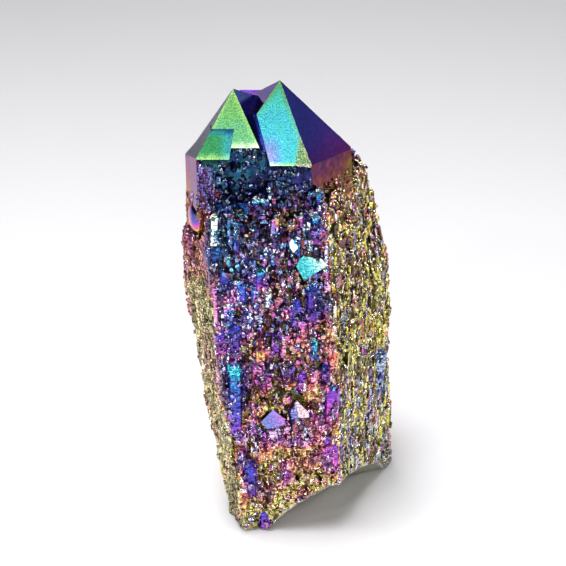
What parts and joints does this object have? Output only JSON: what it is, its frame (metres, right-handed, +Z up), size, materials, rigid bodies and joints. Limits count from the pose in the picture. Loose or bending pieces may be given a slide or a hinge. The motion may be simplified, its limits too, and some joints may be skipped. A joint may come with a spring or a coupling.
{
  "type": "aura quartz crystal",
  "caption": "Upright point of metal-coated quartz: parallel small crystals crust a bundle that ends in a twin tip, standing on its broken base.",
  "frame": {"origin": "centre of the bounding box at the level of the broken base, on the surface it stands on", "axes": "+Z up along the crystal's length towards its tips, -Y towards the face seen in the picture, +X to that face's right"},
  "size_m": [0.0394, 0.0324, 0.0961],
  "materials": {
    "aura_quartz": "thin iridescent metal film over fine druse, glossy"
  },
  "bodies": {
    "root": {"aura_quartz_crystal": "aura_quartz"}
  },
  "joints": []
}
